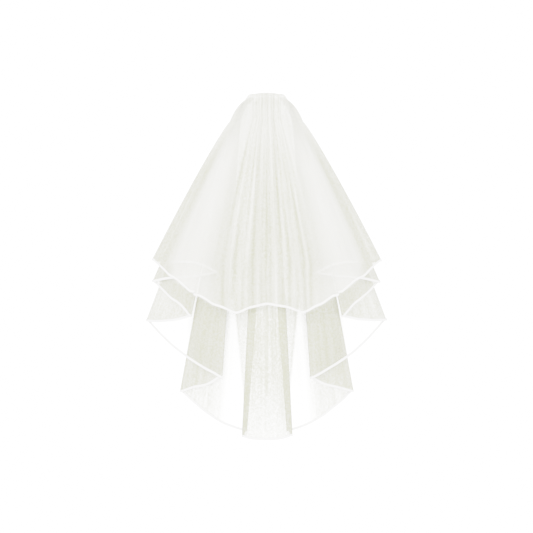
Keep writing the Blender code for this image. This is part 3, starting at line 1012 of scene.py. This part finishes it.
def painted_shade_at(point):
    """The painted shade of the net at a place, tinted olive: by region, and in streaks down the pleats."""
    x, z = point[0], point[2]
    across = x / reach(z)
    below = smooth_step((row_value(UPPER_EDGE, abs(x) / MM, 1) * MM - z) / TONE_BLEND + 0.5)
    tone = mix(row_value(PAINTED_SHADE_TONES, abs(across), 1), row_value(PAINTED_SHADE_TONES, abs(across), 2), below)
    tone = mix(TONE_DOME, tone, smooth_step((DOME_FROM - z) / DOME_BLEND))
    for centre, half_width, darker in PLEAT_SHADE_STREAKS:
        distance = (across - centre) / half_width
        patchy = STREAK_STEADY + STREAK_PATCHY * math.sin(z / MM / STREAK_PATCH + centre * STREAK_SHIFT)
        tone += darker * math.exp(-distance * distance) * (1 - below) * patchy
    return tone


def crease_at(along, point):
    """How much painted shade the lower tier has where a crease runs, and how much denser its net is there."""
    if abs(along) < CREASES_FROM:
        return 0.0
    x, z = point[0] / MM, point[2] / MM
    found = 0.0
    for top_x, top_z, low_x, low_z, half_width, darker in CREASES:
        share = (z - top_z) / (low_z - top_z)
        distance = (x - mix(top_x, low_x, share)) / half_width
        found += darker * faded_ends(share, *CREASE_ENDS) * math.exp(-distance * distance)
    return found + side_crease_at(along, x, z)


def faded_ends(share, begins, ends, fade_in, fade_out):
    """1 along a crease, falling to 0 at its two ends."""
    return smooth_step((share - begins) / fade_in) * smooth_step((ends - share) / fade_out)


def side_crease_at(along, x, z):
    """Painted shade along the fold line on either side of the box pleat, and the denser net with more painted
    shade between it and the pleat.
    """
    top_reach, top_z, low_reach, low_z, half_width, darker, inside = SIDE_CREASE
    if abs(along) > PLEAT_FROM:
        return 0.0
    share = (z - top_z) / (low_z - top_z)
    distance = (abs(x) - mix(top_reach, low_reach, share)) / half_width
    line = darker * math.exp(-distance * distance)
    return faded_ends(share, *SIDE_CREASE_ENDS) * (line + inside * smooth_step(0.5 - distance / 2))


def new_object(name, mesh, finish):
    made = bpy.data.objects.new(name, mesh)
    mesh.materials.append(finish)
    bpy.context.scene.collection.objects.link(made)
    return made


def in_one(rows):
    return [item for row in rows for item in row]


def cloth_mesh(name, points, faces, places):
    """A mesh on rows of points, with the cloth's own directions in metres as its UV map."""
    mesh = bpy.data.meshes.new(name)
    mesh.from_pydata(in_one(points), [], faces)
    layer = mesh.uv_layers.new(name="cloth")
    flat = in_one(places)
    for loop in mesh.loops:
        layer.data[loop.index].uv = flat[loop.vertex_index]
    return mesh


def grid_mesh(name, grid, places, measures):
    """A smooth open mesh over a grid of points."""
    rows = len(grid[0])
    faces = []
    for column in range(len(grid) - 1):
        for row in range(rows - 1):
            first = column * rows + row
            faces.append((first, first + 1, first + rows + 1, first + rows))
    mesh = cloth_mesh(name, grid, faces, places)
    for measure, columns in measures.items():
        attribute = mesh.attributes.new(measure, "FLOAT", "POINT")
        attribute.data.foreach_set("value", in_one(columns))
    mesh.shade_smooth()
    return mesh


def cloth_sheet(name, fine, length, steps, tulle, satin):
    """A sheet of net with its ribbon."""
    grid, places, fullness, painted_shades = [], [], [], []
    for rib, along in fine:
        line = sheet_line(rib, along, length, steps)
        column = [point for point, _ in line]
        grid.append(column)
        down = 0.0
        place = []
        for index, point in enumerate(column):
            if index:
                down += math.dist(point, column[index - 1])
            place.append(((along + length) * MM, down))
        places.append(place)
        stops = fullness_down(along)
        line_fullness, line_painted_shade = [], []
        for point, share in line:
            # The tone holds painted shade: by region, down the pleats, in the pleat's returns and along
            # creases
            crease = crease_at(along, point)
            line_fullness.append(min(row_value(stops, share, 1) + crease * CREASE_DENSER, MOST_FULL))
            line_painted_shade.append(max(painted_shade_at(point), return_painted_shade(along)) + crease)
        fullness.append(line_fullness)
        painted_shades.append(line_painted_shade)
    mesh = grid_mesh(name + "_net", grid, places, {"fullness": fullness, "tone": painted_shades})
    return new_object(name + "_net", mesh, tulle), hem_ribbon(name + "_satin", grid, satin)


def hem_ribbon(name, grid, satin):
    """A flat satin ribbon folded over the hem of a sheet, closed all round, with slight puckers."""
    hem = [Vector(column[-1]) for column in grid]
    above = [Vector(column[-1 - RIBBON_ROWS_UP]) for column in grid]
    last = len(hem) - 1
    along = 0.0
    sections, places = [], []
    for index, point in enumerate(hem):
        if index:
            along += (point - hem[index - 1]).length / MM
        forward = (hem[min(index + 1, last)] - hem[max(index - 1, 0)]).normalized()
        up = above[index] - point
        up = (up - up.project(forward)).normalized()
        out = forward.cross(up).normalized()
        bend = RIBBON_BEND * math.sin(along / RIBBON_BEND_WAVE)
        wave = math.sin(along / RIBBON_PUCKER_WAVE * 2 * math.pi + bend)
        half = RIBBON_HALF + RIBBON_PUCKER * wave / 2
        width = RIBBON_WIDTH + RIBBON_PUCKER * wave
        section, place = [], []
        for over, side in RIBBON_SECTION:
            section.append(point + up * (width * over) + out * (half * side))
            place.append((along * MM, over * RIBBON_WIDTH))
        sections.append(section)
        places.append(place)
    return new_object(name, tube_mesh(name, sections, places), satin)


def tube_mesh(name, sections, places, closed=False):
    """A closed skin through ring after ring of points, with flat ends, or with no end where it is closed."""
    size, rings = len(sections[0]), len(sections)
    faces = []
    for ring in range(rings if closed else rings - 1):
        here, following = ring * size, (ring + 1) % rings * size
        for side in range(size):
            after = (side + 1) % size
            faces.append((here + side, here + after, following + after, following + side))
    if not closed:
        faces.append(tuple(range(size))[::-1])
        faces.append(tuple((rings - 1) * size + side for side in range(size)))
    mesh = cloth_mesh(name, sections, faces, places)
    outward(mesh)
    mesh.shade_smooth()
    return mesh


def outward(mesh):
    shape = bmesh.new()
    shape.from_mesh(mesh)
    bmesh.ops.recalc_face_normals(shape, faces=shape.faces)
    shape.to_mesh(mesh)
    shape.free()


def shirred_heading(finish):
    """The bunched net at the gathering line: close upright puckers with three rows of stitches drawn in."""
    low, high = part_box("gathered_heading")
    columns = SHIRR_COLUMNS
    sections, places = [], []
    for column in range(columns + 1):
        share = column / columns
        x = mix(low.x, high.x, share)
        back = heading_point(x / HEADING_REACH, LAST_LAYER)[1] + TULLE_WALL / 2 + HEADING_GAP
        front = comb_bow(x) + COMB_THICKNESS / 2
        middle, half_depth = (back + front) / 2, (front - back) / 2
        half_height = (high.z - low.z) / 2
        bend = SHIRR_BEND * math.sin(x / MM / SHIRR_BEND_WAVE)
        ending = max(1 - (abs(2 * share - 1)) ** SHIRR_END_POWER, SHIRR_END_LEAST)
        section, place = [], []
        for step in range(SHIRR_RING):
            turn = 2 * math.pi * step / SHIRR_RING
            y, z = rounded_corner(turn)
            pucker = math.sin(x / MM / SHIRR_WAVE * 2 * math.pi + bend + z * SHIRR_LEAN)
            level = z * half_height / MM
            drawn = sum(math.exp(-((level - row) / SHIRR_ROW_WIDTH) ** 2) for row in SHIRR_ROWS)
            swell = 1 - (SHIRR_HEIGHT * (1 - pucker) / 2 + SHIRR_ROW_DEPTH * drawn) / half_depth
            section.append(Vector((
                x,
                middle + y * half_depth * swell * ending,
                (low.z + high.z) / 2 + z * half_height * (1 - SHIRR_EDGE * (1 - pucker)) * ending,
            )))
            place.append((x, turn * SHIRR_ROUND))
        sections.append(section)
        places.append(place)
    return new_object("heading_shirring", tube_mesh("heading_shirring", sections, places), finish)


def comb_bow(x):
    """How far forward the comb curves round the head at a distance from its middle."""
    return COMB_BOW * (x / COMB_HALF_LENGTH) ** 2


def rounded_corner(turn):
    """A point of a square with well rounded corners, one either way."""
    across, up = math.cos(turn), math.sin(turn)
    return math.copysign(abs(across) ** CORNER_POWER, across), math.copysign(abs(up) ** CORNER_POWER, up)


def comb_stitches(finish):
    """Thread loops that bind the comb's spine to the cloth, one in each gap between the teeth."""
    spacing = 2 * (COMB_HALF_LENGTH - COMB_END) / (TOOTH_COUNT - 1)
    half_depth = COMB_THICKNESS / 2 + THREAD_RADIUS
    half_height = COMB_HEIGHT / 2 + THREAD_RADIUS
    shape = bmesh.new()
    for gap in range(TOOTH_COUNT - 1):
        x = -COMB_HALF_LENGTH + COMB_END + (gap + 0.5) * spacing
        y = comb_bow(x)
        path = []
        for step in range(LOOP_STEPS):
            turn = 2 * math.pi * step / LOOP_STEPS
            across, up = rounded_corner(turn)
            path.append(Vector((x + LOOP_LEAN * math.sin(turn), y + across * half_depth, up * half_height)))
        sections, places = ring_sections(path, THREAD_RADIUS, THREAD_SIDES)
        mesh = tube_mesh("loop", sections, places, closed=True)
        shape.from_mesh(mesh)
        bpy.data.meshes.remove(mesh)
    mesh = bpy.data.meshes.new("comb_stitches")
    shape.to_mesh(mesh)
    shape.free()
    mesh.shade_smooth()
    return new_object("comb_stitches", mesh, finish)


def ring_sections(path, radius, sides):
    """Rings of points round a closed path."""
    count = len(path)
    sections, places = [], []
    travelled = 0.0
    for index, point in enumerate(path):
        forward = (path[(index + 1) % count] - path[index - 1]).normalized()
        side = forward.cross(Vector((1, 0, 0))).normalized()
        up = forward.cross(side)
        travelled += (point - path[index - 1]).length
        section, place = [], []
        for step in range(sides):
            turn = 2 * math.pi * step / sides
            section.append(point + side * (radius * math.cos(turn)) + up * (radius * math.sin(turn)))
            place.append((travelled, turn * radius))
        sections.append(section)
        places.append(place)
    return sections, places


def studio():
    """A white floor that runs into a round backdrop far off, soft lights and the camera."""
    grid, places = [], []
    for side in range(STUDIO_SIDES + 1):
        turn = 2 * math.pi * side / STUDIO_SIDES
        forward, sideways = math.cos(turn), math.sin(turn)
        grid.append([(far * forward, far * sideways, FLOOR_Z + up) for far, up in STUDIO_PROFILE])
        places.append([(far * forward, far * sideways) for far, _ in STUDIO_PROFILE])
    sweep = new_object("studio_sweep", grid_mesh("studio_sweep", grid, places, {}), studio_finish())
    # The paper shows, and the soft light on the cloth comes from the world and the lamps alone
    sweep.visible_diffuse = False
    sweep.visible_glossy = False
    sweep.visible_shadow = False
    world = bpy.data.worlds.new("studio")
    world.use_nodes = True
    sky = world.node_tree.nodes["Background"]
    sky.inputs["Color"].default_value = WHITE
    sky.inputs["Strength"].default_value = WORLD_LIGHT
    bpy.context.scene.world = world
    for name, place, size, watts in SOFT_LIGHTS:
        light = bpy.data.lights.new(name, "AREA")
        light.size = size
        light.energy = watts
        lamp = bpy.data.objects.new(name, light)
        lamp.location = place
        towards = Vector((0, 0, PICTURE_MIDDLE_Z)) - lamp.location
        lamp.rotation_euler = towards.to_track_quat("-Z", "Y").to_euler()
        bpy.context.scene.collection.objects.link(lamp)
    lens = bpy.data.cameras.new("camera")
    lens.sensor_width = SENSOR
    lens.lens = SENSOR * CAMERA_DISTANCE / PICTURE_WIDTH
    lens.clip_end = 100.0
    camera = bpy.data.objects.new("camera", lens)
    camera.location = (0.0, -CAMERA_DISTANCE, PICTURE_MIDDLE_Z)
    camera.rotation_euler = (math.radians(90), 0.0, 0.0)
    bpy.context.scene.collection.objects.link(camera)
    bpy.context.scene.camera = camera


def veil(frame):
    """All pieces of the veil, each riding on the one body and standing for its solids."""
    tulle = tulle_finish()
    satin = satin_finish()
    thread = thread_finish()
    steps = (ROLL_STEPS, FALL_STEPS)
    step = COLUMN_STEP
    ribs, seams = closed_hem()
    fine, marks, lengths = smooth_ribs(ribs, step)
    top = len(ribs) // 2
    fine = [(rib, along - lengths[top]) for rib, along in fine]
    length = lengths[-1] / 2
    first, left, upper, right, last = (
        fine[marks[start] : marks[end] + 1] for start, end in zip(seams, seams[1:])
    )
    lower = last[:-1] + first
    sheets = {"upper_tier": upper, "cascade_left": left, "cascade_right": right, "lower_tier": lower}
    for name, part in sheets.items():
        net, ribbon = cloth_sheet(name, part, length, steps, tulle, satin)
        for piece, node, slot in ((net, name, "tulle"), (ribbon, name + "_ribbon", "satin")):
            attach(piece, "root")
            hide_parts(node)
    heading = shirred_heading(gathered_finish())
    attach(heading, "root")
    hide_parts("gathered_heading")
    stitches = comb_stitches(thread)
    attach(stitches, "root")
    frame["nodes"]["comb"].data.materials.clear()
    frame["nodes"]["comb"].data.materials.append(comb_finish())


def main():
    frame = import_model()
    bpy.ops.object.select_all(action="DESELECT")
    bpy.context.scene.cycles.transparent_max_bounces = 48
    veil(frame)
    studio()


main()
